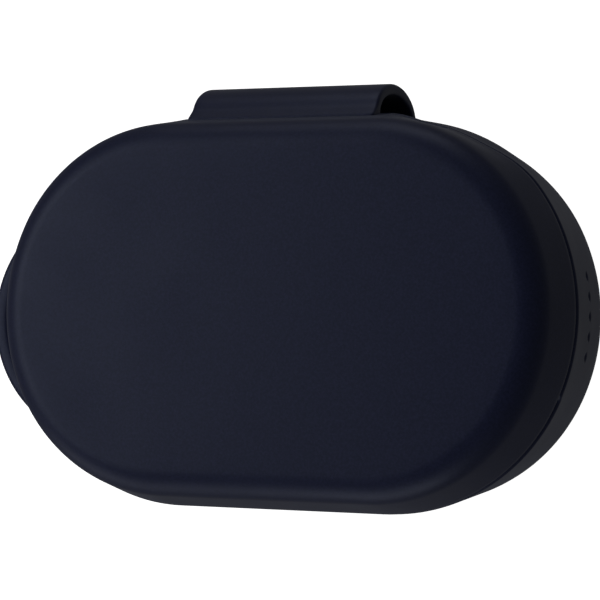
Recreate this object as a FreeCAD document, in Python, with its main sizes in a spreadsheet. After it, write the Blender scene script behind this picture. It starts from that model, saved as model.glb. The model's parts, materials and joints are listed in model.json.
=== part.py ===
"""Wireless earbuds case in a soft protective sleeve: parametric assembly.

Frame: millimetres, +Z up through the lid, +X along the long axis, +Y towards the hinge.
The origin is in the middle of the flat underside of the sleeve.
"""
import FreeCAD, Part
import math
import os
import Sketcher

DEG = math.pi / 180
V = FreeCAD.Vector
doc = FreeCAD.newDocument("earbuds_case")

# ---------------------------------------------------------------- driving dimensions
DIMENSIONS = {
    # plan outline: flat sides, corner arcs and a slightly flatter arc at each end
    "half_length": 32.5, "half_width": 21.6, "tip_radius": 24.2, "corner_radius": 20.3,
    # heights
    "parting": 21.8, "total_height": 30.2, "sleeve_gap": 0.3, "shell_gap": 0.1,
    # walls, each measured inwards from the outer outline
    "sleeve_outside": 0.0, "sleeve_inside": 1.45, "shell_outside": 1.5, "shell_inside": 2.9,
    "strap_relief": -0.03, "tray_outside": 3.0, "liner_outside": 3.15, "liner_inside": 6.6,
    # lean of the walls and the rounded edges
    "base_lean": 3.6, "lid_lean": 12.8, "bottom_round": 9.5, "top_round": 3.2,
    # hinge
    "hinge_y": 20.5, "barrel_r": 1.0, "pin_r": 0.4, "pin_play": 0.05, "groove_r": 1.12,
    "knuckle_inner_x": 5.0, "knuckle_outer_x": 9.6, "knuckle_gap": 0.1, "leaf_thick": 0.5,
    "leaf_foot_z": 17.6, "leaf_head_z": 20.6, "leaf_y": 19.3, "lid_leaf_long": 3.6,
    "lid_leaf_depth": 0.65, "relief_half_x": 18.6, "relief_z": 23.0, "window_half_x": 10.0,
    "window_z": 20.4,
    # hinge strap: a hollow arch, half an ellipse in section
    "strap_half_x": 10.85, "strap_y": 21.4, "strap_z": 17.4, "strap_rise": 3.75,
    "strap_half_z": 6.7, "strap_wall": 1.22,
    # lanyard loop at the left end
    "loop_tip_x": 39.3, "loop_radius": 14.0, "loop_y": -0.8, "loop_low_z": 12.5,
    "loop_thick": 4.0, "loop_band": 2.1, "loop_slot_x": 32.6, "loop_root": 5.5,
    # grip dimples at the right end and finger step along the front
    "dimple_pitch": 2.15, "dimple_z": 14.8, "dimple_r": 0.5, "dimple_depth": 0.3,
    "step_y": 8.6, "step_depth": 0.4,
    # charging socket; the back cut is the span in Y of every solid that opens the back wall
    "port_z": 7.0, "port_wide": 8.94, "port_tall": 3.2, "port_deep": 7.35, "port_mouth_y": 18.4,
    "port_wall": 0.3, "window_wide": 12.4, "window_tall": 6.8, "slot_wide": 9.4, "slot_tall": 3.6,
    "tongue_wide": 6.6, "tongue_long": 5.0, "tongue_thick": 0.7, "port_back_wall": 1.0,
    "back_cut_y": 16.2, "back_cut_long": 8.0,
    # tray with two wells
    "deck_top": 20.75, "deck_thick": 1.2, "well_x": 15.5, "well_y": -0.5, "well_half_x": 8.3,
    "well_half_y": 11.5, "well_wall": 1.0, "well_floor": 10.0,
    # liner of the lid
    "liner_lift": 0.4, "liner_room_y": 17.9, "liner_room_tall": 1.6, "liner_top_gap": 0.1,
    "liner_roof": 1.0,
    # main board and battery
    "board_z": 4.6, "board_thick": 0.8, "board_half_x": 24.0, "board_front_y": -11.5,
    "board_back_y": 13.0, "board_corner": 12.0, "board_corner_out": 3.5, "board_corner_up": 7.5,
    "battery_wide": 9.0, "battery_long": 17.5, "battery_tall": 10.8, "battery_y": 0.6,
    "battery_corner": 1.2, "tape_thick": 0.5, "tape_margin": 1.0,
    # battery leads
    "lead_r": 0.4, "lead_x": 2.0, "lead_reach": 1.15, "lead_bend": 0.8, "lead_rise": 6.0,
    # spring-loaded charging contacts
    "contact_spacing": 4.0, "contact_y": -4.0, "contact_r": 0.5, "contact_head_r": 0.72,
    "contact_stroke": 0.6, "contact_proud": 0.8, "contact_bore_r": 0.8,
    "contact_block_long": 7.6, "contact_block_wide": 3.2, "contact_shoulder_z": 8.1,
    "contact_play": 0.06, "contact_flange": 0.5, "contact_nose": 0.3, "contact_nose_slope": 0.22,
    "contact_seat": 0.4, "coil_play": 0.05, "coil_wire": 0.2,
    # setup button, status light and their small board
    "button_y": -13.4, "button_r": 1.9, "button_proud": 0.3, "button_flange_r": 2.5,
    "button_travel": 0.25, "button_play": 0.12, "button_chamfer": 0.25, "button_foot_r": 1.1,
    "button_flange": 0.5, "button_rest": 0.05, "light_y": -9.4, "light_r": 0.6,
    "deck_board_z": 15.6, "deck_board_thick": 0.6, "deck_board_half_x": 5.6,
    "deck_board_front_y": -16.2, "deck_board_back_y": -8.4, "switch_side": 4.0,
    "switch_tall": 1.6, "nub_r": 1.0, "nub_tall": 0.3, "led_wide": 1.6, "led_long": 0.8,
    "led_tall": 0.5, "sensor_x": 3.6, "sensor_inset": 0.6, "sensor_wide": 1.4,
    "sensor_long": 2.4, "sensor_tall": 0.7, "flex_x": 3.3, "flex_inset": 1.2, "flex_wide": 1.0,
    "flex_thick": 0.15, "flex_foot": 1.4,
    # magnets
    "magnet_x": 14.5, "magnet_y": -15.85, "magnet_r": 1.2, "magnet_tall": 1.5,
    "bud_magnet_r": 2.0, "bud_magnet_tall": 1.5, "bud_magnet_y": 6.0, "magnet_play": 0.05,
    "magnet_cover": 0.4, "magnet_lift": 0.5,
    # screws
    "tray_screw_x": 9.4, "tray_screw_y": 14.6, "screw_r": 0.7, "screw_head_r": 1.3,
    "screw_head_tall": 0.8, "tray_screw_long": 5.0, "boss_r": 1.9, "board_screw_x": 21.0,
    "board_screw_long": 2.2, "board_hole_deep": 1.5, "screw_play": 0.1, "thread_play": 0.02,
    "head_gap": 0.1, "recess_long": 1.3, "recess_wide": 0.3, "recess_deep": 0.35,
    "post_root": 0.3, "post_room": 0.4,
    # how far a cutting solid runs past the face that it opens, and the play of seated parts
    "past": 1.0, "seat_play": 0.05,
}
sheet = doc.addObject("Spreadsheet::Sheet", "Dims")
for row, (alias, number) in enumerate(DIMENSIONS.items(), start=1):
    sheet.set(f"A{row}", alias)
    sheet.set(f"B{row}", str(number))
    sheet.setAlias(f"B{row}", alias)
doc.recompute()


def size(alias):
    """The number held in the sheet under an alias."""
    return float(sheet.get(alias))


def bind(item, **formulas):
    """Tie properties of an object to sheet formulas; two underscores stand for a dot."""
    for name, formula in formulas.items():
        item.setExpression(name.replace("__", "."), str(formula))
    return item


# ---------------------------------------------------------------- plain solids
SIDES = ((-1, "left"), (1, "right"))


def both_sides(maker):
    """Call maker once for the left side (-1) and once for the right side (+1)."""
    return [maker(side, word) for side, word in SIDES]


def place(item, x="0", y="0", z="0"):
    return bind(item, Placement__Base__x=x, Placement__Base__y=y, Placement__Base__z=z)


def box(name, x, y, z):
    """A box from three (low, length) pairs of formulas."""
    item = doc.addObject("Part::Box", name)
    bind(item, Length=x[1], Width=y[1], Height=z[1])
    return place(item, x[0], y[0], z[0])


def centred_box(name, x_size, y, z):
    """A box centred on the YZ plane."""
    return box(name, (f"-({x_size}) / 2", x_size), y, z)


def cylinder(name, radius, height, at, along="z"):
    """A cylinder that starts at a point and runs along +x, +y or +z."""
    item = doc.addObject("Part::Cylinder", name)
    bind(item, Radius=radius, Height=height)
    turns = {"x": (V(0, 1, 0), 90), "y": (V(1, 0, 0), -90), "z": (V(0, 0, 1), 0)}
    item.Placement = FreeCAD.Placement(V(), FreeCAD.Rotation(*turns[along]))
    return place(item, *at)


def fuse(name, *items):
    item = doc.addObject("Part::MultiFuse", name)
    item.Shapes = list(items)
    return item


def cut(name, base, *tools):
    item = doc.addObject("Part::Cut", name)
    item.Base = base
    item.Tool = tools[0] if len(tools) == 1 else fuse(name + "_cutters", *tools)
    return item


def overlap(name, one, other):
    item = doc.addObject("Part::MultiCommon", name)
    item.Shapes = [one, other]
    return item


def flat_tube(name, wide, tall, y):
    """A bar along Y at the socket's height, whose section is a slot with half-round ends."""
    half = f"(({wide}) - ({tall})) / 2"
    middle = box(name + "_middle", (f"-({half})", f"2 * ({half})"), y,
                 (f"Dims.port_z - ({tall}) / 2", tall))
    ends = both_sides(lambda side, word: cylinder(
        f"{name}_{word}", f"({tall}) / 2", y[1], (f"{side} * ({half})", y[0], "Dims.port_z"),
        along="y"))
    return fuse(name, middle, *ends)


def group(name, *items):
    """Separate solids of one kind, kept together in one node."""
    item = doc.addObject("Part::Compound", name)
    item.Links = list(items)
    return item


# ---------------------------------------------------------------- sketches and bodies
def origin_plane(body, role):
    return next(f for f in body.Origin.OriginFeatures if f.Role == role)


def new_sketch(body, name, role="XY_Plane", lift="0"):
    sketch = body.newObject("Sketcher::SketchObject", name)
    sketch.AttachmentSupport = (origin_plane(body, role), [""])
    sketch.MapMode = "FlatFace"
    return bind(sketch, AttachmentOffset__Base__z=lift)


def drive(sketch, formula, *constraint):
    index = sketch.addConstraint(Sketcher.Constraint(*constraint))
    sketch.setExpression(f"Constraints[{index}]", formula)


def arc(x, y, radius, start, end):
    return Part.ArcOfCircle(Part.Circle(V(x, y, 0), V(0, 0, 1), radius), start, end)


def line(x0, y0, x1, y1):
    return Part.LineSegment(V(x0, y0, 0), V(x1, y1, 0))


def racetrack(body, name, inset, lift):
    """The case's outline, moved inwards by the sheet value named inset, at height lift."""
    sketch = new_sketch(body, name, lift=lift)
    tip, corner = size("tip_radius"), size("corner_radius")
    half_y, gap = size("half_width"), size(inset)
    turn = math.asin((half_y - corner) / (tip - corner))
    tip_x = size("half_length") - tip
    corner_x = tip_x + (tip - corner) * math.cos(turn)
    corner_y = half_y - corner
    edge_y = half_y - gap
    sketch.addGeometry([
        arc(tip_x, 0, tip - gap, -turn, turn),
        arc(corner_x, corner_y, corner - gap, turn, math.pi / 2),
        line(corner_x, edge_y, -corner_x, edge_y),
        arc(-corner_x, corner_y, corner - gap, math.pi / 2, math.pi - turn),
        arc(-tip_x, 0, tip - gap, math.pi - turn, math.pi + turn),
        arc(-corner_x, -corner_y, corner - gap, math.pi + turn, 1.5 * math.pi),
        line(-corner_x, -edge_y, corner_x, -edge_y),
        arc(corner_x, -corner_y, corner - gap, 1.5 * math.pi, 2 * math.pi - turn),
    ], False)
    right, left, back, front, corners = 0, 4, 2, 6, (1, 3, 5, 7)
    for i in range(8):
        sketch.addConstraint(Sketcher.Constraint("Tangent", i, 2, (i + 1) % 8, 1))
    for side in (back, front):
        sketch.addConstraint(Sketcher.Constraint("Horizontal", side))
    for end in (right, left):
        sketch.addConstraint(Sketcher.Constraint("PointOnObject", end, 3, -1))
        drive(sketch, f"Dims.tip_radius - Dims.{inset}", "Radius", end, tip - gap)
    for bend in corners:
        drive(sketch, f"Dims.corner_radius - Dims.{inset}", "Radius", bend, corner - gap)
    drive(sketch, f"Dims.half_width - Dims.{inset}", "DistanceY", -1, 1, back, 1, edge_y)
    drive(sketch, f"Dims.half_width - Dims.{inset}", "DistanceY", front, 1, -1, 1, edge_y)
    drive(sketch, "Dims.half_length - Dims.tip_radius", "DistanceX", -1, 1, right, 3, tip_x)
    drive(sketch, "Dims.half_length - Dims.tip_radius", "DistanceX", left, 3, -1, 1, tip_x)
    return sketch


def pad(body, sketch, length, reverse=False, lean=None):
    feature = body.newObject("PartDesign::Pad", sketch.Name + "_pad")
    feature.Profile = sketch
    feature.Reversed = reverse
    bind(feature, Length=length)
    if lean:
        bind(feature, TaperAngle=lean)
    return feature


def round_level_edges(body, feature, level, radius):
    """Fillet every edge of a feature that lies flat at one height."""
    doc.recompute()
    edges = [
        f"Edge{i}" for i, edge in enumerate(feature.Shape.Edges, start=1)
        if max(abs(edge.BoundBox.ZMin - level), abs(edge.BoundBox.ZMax - level)) < 1e-4
    ]
    fillet = body.newObject("PartDesign::Fillet", feature.Name + "_round")
    fillet.Base = (feature, edges)
    return bind(fillet, Radius=radius)


def base_block(name, inset, rim, floor, rounding=None):
    """Solid filling the lower half of the case inside one outline."""
    body = doc.addObject("PartDesign::Body", name)
    sketch = racetrack(body, name + "_outline", inset, rim)
    feature = pad(body, sketch, f"({rim}) - ({floor})", reverse=True, lean="-Dims.base_lean")
    if rounding:
        doc.recompute()
        round_level_edges(body, feature, feature.Shape.BoundBox.ZMin, rounding)
    return body


def lid_block(name, inset, rim, ceiling, rounding=None):
    """Solid filling the upper half of the case inside one outline."""
    body = doc.addObject("PartDesign::Body", name)
    sketch = racetrack(body, name + "_outline", inset, rim)
    feature = pad(body, sketch, f"({ceiling}) - ({rim})", lean="-Dims.lid_lean")
    if rounding:
        doc.recompute()
        round_level_edges(body, feature, feature.Shape.BoundBox.ZMax, rounding)
    return body


def rounded_bar(name, half_x, half_y, at, height):
    """An upright bar whose plan is two half circles joined by straight sides along Y."""
    body = doc.addObject("PartDesign::Body", name)
    sketch = new_sketch(body, name + "_plan")
    radius, reach = half_x[1], half_y[1] - half_x[1]
    sketch.addGeometry([
        arc(0, reach, radius, 0, math.pi),
        line(-radius, reach, -radius, -reach),
        arc(0, -reach, radius, math.pi, 2 * math.pi),
        line(radius, -reach, radius, reach),
    ], False)
    for i in range(4):
        sketch.addConstraint(Sketcher.Constraint("Tangent", i, 2, (i + 1) % 4, 1))
    sketch.addConstraint(Sketcher.Constraint("Vertical", 1))
    sketch.addConstraint(Sketcher.Constraint("PointOnObject", 0, 3, -2))
    sketch.addConstraint(Sketcher.Constraint("Symmetric", 0, 3, 2, 3, -1, 1))
    drive(sketch, half_x[0], "Radius", 0, radius)
    drive(sketch, f"({half_y[0]}) - ({half_x[0]})", "DistanceY", -1, 1, 0, 3, reach)
    pad(body, sketch, height)
    return place(body, *at)


def turned(name, profile, at):
    """A body of revolution about Z from (radius, height) formula pairs with their values."""
    body = doc.addObject("PartDesign::Body", name)
    sketch = new_sketch(body, name + "_profile", role="XZ_Plane")
    points = [(radius[1], height[1]) for radius, height in profile]
    count = len(points)
    sketch.addGeometry([line(*points[i], *points[(i + 1) % count]) for i in range(count)], False)
    for i in range(count):
        sketch.addConstraint(Sketcher.Constraint("Coincident", i, 2, (i + 1) % count, 1))
    for i, (radius, height) in enumerate(profile):
        if radius[1] == 0:
            sketch.addConstraint(Sketcher.Constraint("PointOnObject", i, 1, -2))
        else:
            drive(sketch, radius[0], "DistanceX", -1, 1, i, 1, radius[1])
        if height[1] == 0:
            sketch.addConstraint(Sketcher.Constraint("PointOnObject", i, 1, -1))
        else:
            drive(sketch, height[0], "DistanceY", -1, 1, i, 1, height[1])
    spin = body.newObject("PartDesign::Revolution", name + "_turn")
    spin.Profile = sketch
    spin.ReferenceAxis = (sketch, ["V_Axis"])
    spin.Angle = 360
    return place(body, *at)


# ---------------------------------------------------------------- shared heights
SLEEVE_BASE_RIM = "Dims.parting - Dims.sleeve_gap / 2"
SLEEVE_LID_RIM = "Dims.parting + Dims.sleeve_gap / 2"
SHELL_BASE_RIM = "Dims.parting - Dims.shell_gap / 2"
SHELL_LID_RIM = "Dims.parting + Dims.shell_gap / 2"
LINER_RIM = "Dims.parting + Dims.liner_lift"
BOARD_TOP = "Dims.board_z + Dims.board_thick"
DECK_UNDER = "Dims.deck_top - Dims.deck_thick"
DECK_BOARD_TOP = "Dims.deck_board_z + Dims.deck_board_thick"
BACK_CUT = ("Dims.back_cut_y", "Dims.back_cut_long")
CORNERS = ((-1, -1), (1, -1), (-1, 1), (1, 1))


# ---------------------------------------------------------------- soft sleeve
def lanyard_loop():
    """Flat D-shaped loop that stands out of the left end of the lower sleeve."""
    def d_shape(name, shrink, low, thick, back_x):
        body = doc.addObject("PartDesign::Body", name)
        sketch = new_sketch(body, name + "_plan", lift=low)
        radius = size("loop_radius") - shrink[1]
        middle_x = size("loop_radius") - size("loop_tip_x")
        half_y = math.sqrt(radius ** 2 - (back_x[1] + middle_x) ** 2)
        half_turn = math.asin(half_y / radius)
        middle_y = size("loop_y")
        sketch.addGeometry([
            arc(middle_x, middle_y, radius, math.pi - half_turn, math.pi + half_turn),
            line(-back_x[1], middle_y - half_y, -back_x[1], middle_y + half_y),
        ], False)
        sketch.addConstraint(Sketcher.Constraint("Coincident", 0, 2, 1, 1))
        sketch.addConstraint(Sketcher.Constraint("Coincident", 1, 2, 0, 1))
        sketch.addConstraint(Sketcher.Constraint("Vertical", 1))
        drive(sketch, f"Dims.loop_radius - ({shrink[0]})", "Radius", 0, radius)
        drive(sketch, "Dims.loop_tip_x - Dims.loop_radius", "DistanceX", 0, 3, -1, 1, -middle_x)
        drive(sketch, "-Dims.loop_y", "DistanceY", 0, 3, -1, 1, -middle_y)
        drive(sketch, back_x[0], "DistanceX", 1, 1, -1, 1, back_x[1])
        pad(body, sketch, thick)
        return body

    band = d_shape("loop_band_block", ("0", 0), "Dims.loop_low_z", "Dims.loop_thick",
                   ("Dims.loop_slot_x - Dims.loop_root", size("loop_slot_x") - size("loop_root")))
    slot = d_shape("loop_slot_block", ("Dims.loop_band", size("loop_band")),
                   "Dims.loop_low_z - Dims.past", "Dims.loop_thick + 2 * Dims.past",
                   ("Dims.loop_slot_x", size("loop_slot_x")))
    return band, slot


def grip_dimples():
    """Five shallow round dimples in a row on the right end wall."""
    dimples = []
    for i in range(5):
        y = size("dimple_pitch") * (2 - i)
        reach = f"sqrt(Dims.tip_radius * Dims.tip_radius - {y ** 2})"
        lean = "(Dims.parting - Dims.dimple_z) * tan(Dims.base_lean * 1 deg)"
        x = f"Dims.half_length - Dims.tip_radius + {reach} - {lean} - Dims.dimple_depth"
        dimples.append(cylinder(f"dimple_{i + 1}", "Dims.dimple_r", "2 * Dims.sleeve_inside",
                                (x, y, "Dims.dimple_z"), along="x"))
    return dimples


def make_sleeve_base():
    outside = base_block("sleeve_base_outside", "sleeve_outside", SLEEVE_BASE_RIM, "0",
                         "Dims.bottom_round")
    inside = base_block("sleeve_base_inside", "sleeve_inside", SLEEVE_BASE_RIM,
                        "Dims.sleeve_inside", "Dims.bottom_round - Dims.sleeve_inside")
    band, slot = lanyard_loop()
    port_window = rounded_window("sleeve_port_window", "Dims.window_wide", "Dims.window_tall")
    hinge_window = centred_box("sleeve_hinge_window", "2 * Dims.window_half_x", BACK_CUT,
                               ("Dims.window_z", "Dims.parting - Dims.window_z + Dims.past"))
    step = centred_box("sleeve_finger_step", "2 * Dims.loop_tip_x",
                       ("-Dims.step_y - Dims.half_width", "Dims.half_width"),
                       (f"{SLEEVE_BASE_RIM} - Dims.step_depth", "Dims.step_depth + Dims.past"))
    return cut("sleeve_base", fuse("sleeve_base_block", outside, band), inside, slot,
               port_window, hinge_window, step, *grip_dimples())


def rounded_window(name, wide, tall):
    """A slot with half-round ends that goes out through the back wall at the socket."""
    return flat_tube(name, wide, tall, BACK_CUT)


def make_sleeve_lid():
    outside = lid_block("sleeve_lid_outside", "sleeve_outside", SLEEVE_LID_RIM,
                        "Dims.total_height", "Dims.top_round")
    inside = lid_block("sleeve_lid_inside", "sleeve_inside", SLEEVE_LID_RIM,
                       "Dims.total_height - Dims.sleeve_inside",
                       "Dims.top_round - Dims.sleeve_inside")
    relief = centred_box("sleeve_lid_relief", "2 * Dims.relief_half_x", BACK_CUT,
                         ("Dims.parting - Dims.past", "Dims.relief_z - Dims.parting + Dims.past"))
    return cut("sleeve_lid", outside, inside, relief)


def make_hinge_strap():
    """Hollow arch of the sleeve that bridges the hinge, open at both ends."""
    def elliptic_bar(name, half_z, rise, half_x):
        base = doc.addObject("Part::Ellipse", name + "_section")
        bind(base, MajorRadius=half_z, MinorRadius=rise)
        bar = doc.addObject("Part::Extrusion", name)
        bar.Base = base
        bar.DirMode = "Custom"
        bar.Dir = V(0, 0, 1)
        bar.Solid = True
        bar.Symmetric = True
        bind(bar, LengthFwd=f"2 * ({half_x})")
        bar.Placement = FreeCAD.Placement(V(), FreeCAD.Rotation(V(0, 1, 0), 90))
        return place(bar, "0", "Dims.strap_y", "Dims.strap_z")

    outside = elliptic_bar("strap_outside", "Dims.strap_half_z", "Dims.strap_rise",
                           "Dims.strap_half_x")
    inside = elliptic_bar("strap_inside", "Dims.strap_half_z - Dims.strap_wall",
                          "Dims.strap_rise - Dims.strap_wall", "Dims.strap_half_x + Dims.past")
    below = base_block("strap_relief_base", "strap_relief", SLEEVE_LID_RIM, "0")
    above = lid_block("strap_relief_lid", "strap_relief", SLEEVE_LID_RIM, "Dims.total_height")
    barrel = cylinder("strap_relief_barrel", "Dims.groove_r", "2 * Dims.strap_half_x",
                      ("-Dims.strap_half_x", "Dims.hinge_y", "Dims.parting"), along="x")
    return cut("hinge_strap", outside, inside, below, above, barrel)


# ---------------------------------------------------------------- hard case
def hinge_groove(name):
    """Round channel that clears the hinge barrel in a back wall."""
    return cylinder(name, "Dims.groove_r", "2 * Dims.window_half_x",
                    ("-Dims.window_half_x", "Dims.hinge_y", "Dims.parting"), along="x")


def make_base_shell():
    outside = base_block("shell_base_outside", "shell_outside", SHELL_BASE_RIM,
                         "Dims.shell_outside", "Dims.bottom_round - Dims.shell_outside")
    inside = base_block("shell_base_inside", "shell_inside", SHELL_BASE_RIM,
                        "Dims.shell_inside", "Dims.bottom_round - Dims.shell_inside")
    leaf_seat = centred_box("shell_leaf_seat", "2 * Dims.knuckle_outer_x + 4 * Dims.seat_play",
                            ("Dims.leaf_y - Dims.seat_play", "Dims.half_width - Dims.leaf_y"),
                            ("Dims.leaf_foot_z - Dims.seat_play", "Dims.parting - Dims.leaf_foot_z"))
    hollow = cut("base_shell_hollow", outside, inside, leaf_seat, hinge_groove("base_groove"),
                 rounded_window("shell_port_slot", "Dims.slot_wide", "Dims.slot_tall"))
    foot = "Dims.shell_inside - Dims.post_root"
    posts, holes = [], []
    for i, (sx, sy) in enumerate(CORNERS, start=1):
        at = (f"{sx} * Dims.tray_screw_x", f"{sy} * Dims.tray_screw_y")
        posts.append(cylinder(f"tray_post_{i}", "Dims.boss_r",
                              f"{DECK_UNDER} - ({foot}) - Dims.seat_play", (*at, foot)))
        holes.append(cylinder(f"tray_post_hole_{i}", "Dims.screw_r",
                              "Dims.tray_screw_long + Dims.past",
                              (*at, f"{DECK_UNDER} - Dims.tray_screw_long")))
    for side, word in SIDES:
        at = (f"{side} * Dims.board_screw_x", "0")
        posts.append(cylinder(f"board_post_{word}", "Dims.boss_r",
                              f"Dims.board_z - ({foot}) - Dims.thread_play", (*at, foot)))
        holes.append(cylinder(f"board_post_hole_{word}", "Dims.screw_r",
                              "Dims.board_hole_deep + Dims.past",
                              (*at, "Dims.board_z - Dims.board_hole_deep")))
    within = overlap("base_shell_posts", fuse("base_shell_post_bars", *posts), outside)
    return cut("base_shell", fuse("base_shell_block", hollow, within), *holes)


def make_lid_shell():
    outside = lid_block("shell_lid_outside", "shell_outside", SHELL_LID_RIM,
                        "Dims.total_height - Dims.shell_outside",
                        "Dims.top_round - Dims.shell_outside")
    inside = lid_block("shell_lid_inside", "shell_inside", SHELL_LID_RIM,
                       "Dims.total_height - Dims.shell_inside")
    seat = sloped_leaf("lid_leaf_seat", "Dims.knuckle_inner_x", "Dims.seat_play",
                       "Dims.leaf_thick + Dims.lid_leaf_depth + Dims.past")
    return cut("lid_shell", outside, inside, seat, hinge_groove("lid_groove"))


def sloped_leaf(name, half_x, play, thick):
    """A plate that lies in the leaning back wall of the lid, from the hinge upwards."""
    item = doc.addObject("Part::Box", name)
    bind(item, Length=f"2 * ({half_x}) + 2 * ({play})", Width=thick,
         Height=f"Dims.lid_leaf_long + ({play})")
    item.Placement = FreeCAD.Placement(V(), FreeCAD.Rotation(V(1, 0, 0), size("lid_lean")))
    depth = f"(Dims.lid_leaf_depth + ({play}))"
    return place(item, f"-({half_x}) - ({play})",
                 f"Dims.half_width - Dims.shell_outside - {depth}", SHELL_LID_RIM)


def make_tray():
    """Deck with two open wells; the wells hang below it."""
    deck = doc.addObject("PartDesign::Body", "tray_deck")
    outline = racetrack(deck, "tray_outline", "tray_outside", "Dims.deck_top")
    pad(deck, outline, "Dims.deck_thick", reverse=True, lean="-Dims.base_lean")

    def well(side, word, part, grow, low, high):
        half_x = (f"Dims.well_half_x + ({grow[0]})", size("well_half_x") + grow[1])
        half_y = (f"Dims.well_half_y + ({grow[0]})", size("well_half_y") + grow[1])
        at = (f"{side} * Dims.well_x", "Dims.well_y", low)
        return rounded_bar(f"well_{part}_{word}", half_x, half_y, at, f"({high}) - ({low})")

    wall = ("Dims.well_wall", size("well_wall"))
    outers = both_sides(lambda side, word: well(
        side, word, "outer", wall, "Dims.well_floor - Dims.well_wall",
        "Dims.deck_top - Dims.seat_play"))
    inners = both_sides(lambda side, word: well(
        side, word, "inner", ("0", 0), "Dims.well_floor", "Dims.deck_top + Dims.past"))

    def deck_hole(name, radius, x, y):
        return cylinder(name, radius, "Dims.deck_thick + 2 * Dims.past",
                        (x, y, f"{DECK_UNDER} - Dims.past"))

    holes = [deck_hole("tray_button_hole", "Dims.button_r + Dims.button_play", "0", "Dims.button_y"),
             deck_hole("tray_light_hole", "Dims.light_r + Dims.thread_play", "0", "Dims.light_y")]
    for name, sx, sy in contact_places():
        holes.append(cylinder(f"tray_hole_{name}", "Dims.contact_r + Dims.button_play",
                              "Dims.well_wall + 2 * Dims.past",
                              (*contact_at(sx, sy), "Dims.well_floor - Dims.well_wall - Dims.past")))
    for i, (sx, sy) in enumerate(CORNERS, start=1):
        at = (f"{sx} * Dims.tray_screw_x", f"{sy} * Dims.tray_screw_y")
        holes.append(deck_hole(f"tray_screw_hole_{i}", "Dims.screw_r + Dims.screw_play", *at))
        holes.append(cylinder(f"tray_screw_seat_{i}", "Dims.screw_head_r + Dims.screw_play",
                              "Dims.screw_head_tall + Dims.past",
                              (*at, "Dims.deck_top - Dims.screw_head_tall")))
    holes += both_sides(lambda side, word: cylinder(
        f"tray_magnet_pocket_{word}", "Dims.magnet_r + Dims.magnet_play",
        "Dims.deck_thick - Dims.magnet_cover + Dims.past",
        (f"{side} * Dims.magnet_x", "Dims.magnet_y", f"{DECK_UNDER} - Dims.past")))
    return cut("tray", fuse("tray_block", deck, *outers), *inners, *holes)


def make_lid_liner():
    """Inner moulding of the lid: a rim with a recess for the tops of the earbuds."""
    ceiling = "Dims.total_height - Dims.shell_inside - Dims.liner_top_gap"
    outside = lid_block("liner_outside_block", "liner_outside", LINER_RIM, ceiling)
    recess = lid_block("liner_recess_block", "liner_inside", LINER_RIM,
                       f"{ceiling} - Dims.liner_roof")
    pockets = both_sides(lambda side, word: cylinder(
        f"liner_pocket_{word}", "Dims.magnet_r + Dims.magnet_play",
        "Dims.magnet_tall + Dims.magnet_play",
        (f"{side} * Dims.magnet_x", "Dims.magnet_y", f"{LINER_RIM} + Dims.magnet_lift")))
    hinge_room = centred_box("liner_hinge_room", "2 * Dims.window_half_x",
                             ("Dims.liner_room_y", "Dims.back_cut_long"),
                             ("Dims.parting", "Dims.liner_room_tall"))
    return cut("lid_liner", outside, recess, hinge_room, *pockets)


# ---------------------------------------------------------------- hinge
def knuckle(name, low_x, high_x, bore):
    at = (low_x, "Dims.hinge_y", "Dims.parting")
    length = f"({high_x}) - ({low_x})"
    barrel = cylinder(name + "_barrel", "Dims.barrel_r", length, at, along="x")
    hole = cylinder(name + "_bore", bore, f"({length}) + 2 * Dims.past",
                    (f"({low_x}) - Dims.past", "Dims.hinge_y", "Dims.parting"), along="x")
    return barrel, hole


def make_hinge():
    inner, outer = "Dims.knuckle_inner_x", "Dims.knuckle_outer_x"
    near = f"{inner} + Dims.knuckle_gap"
    left_barrel, left_hole = knuckle("base_knuckle_left", f"-{outer}", f"-({near})", "Dims.pin_r")
    right_barrel, right_hole = knuckle("base_knuckle_right", near, outer, "Dims.pin_r")
    plate = centred_box("base_leaf_plate", f"2 * {outer}", ("Dims.leaf_y", "Dims.leaf_thick"),
                        ("Dims.leaf_foot_z", "Dims.leaf_head_z - Dims.leaf_foot_z"))
    arms = [
        box(f"base_leaf_arm_{word}", (low, f"{outer} - ({near})"),
            ("Dims.leaf_y", "Dims.leaf_thick"),
            ("Dims.leaf_head_z - 2 * Dims.seat_play",
             "Dims.parting - Dims.pin_r - Dims.leaf_head_z"))
        for word, low in (("left", f"-{outer}"), ("right", near))
    ]
    cut("hinge_base_leaf", fuse("base_leaf_block", plate, *arms, left_barrel, right_barrel),
        left_hole, right_hole)
    barrel, hole = knuckle("lid_knuckle", f"-{inner}", inner, "Dims.pin_r + Dims.pin_play")
    blade = sloped_leaf("lid_leaf_blade", f"{inner} - Dims.knuckle_gap", "0", "Dims.leaf_thick")
    cut("hinge_lid_leaf", fuse("lid_leaf_block", barrel, blade), hole)
    cylinder("hinge_pin", "Dims.pin_r", f"2 * {outer}",
             (f"-{outer}", "Dims.hinge_y", "Dims.parting"), along="x")


# ---------------------------------------------------------------- charging contacts
CONTACT_SPOTS = (("outer", 1), ("inner", -1))


def contact_places():
    """Name and side signs of the four contacts: two in the floor of each well."""
    return [(f"{word}_{spot}", side, sy) for side, word in SIDES for spot, sy in CONTACT_SPOTS]


def contact_at(sx, sy):
    return (f"{sx} * (Dims.well_x + {sy} * Dims.contact_spacing / 2)", "Dims.contact_y")


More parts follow.
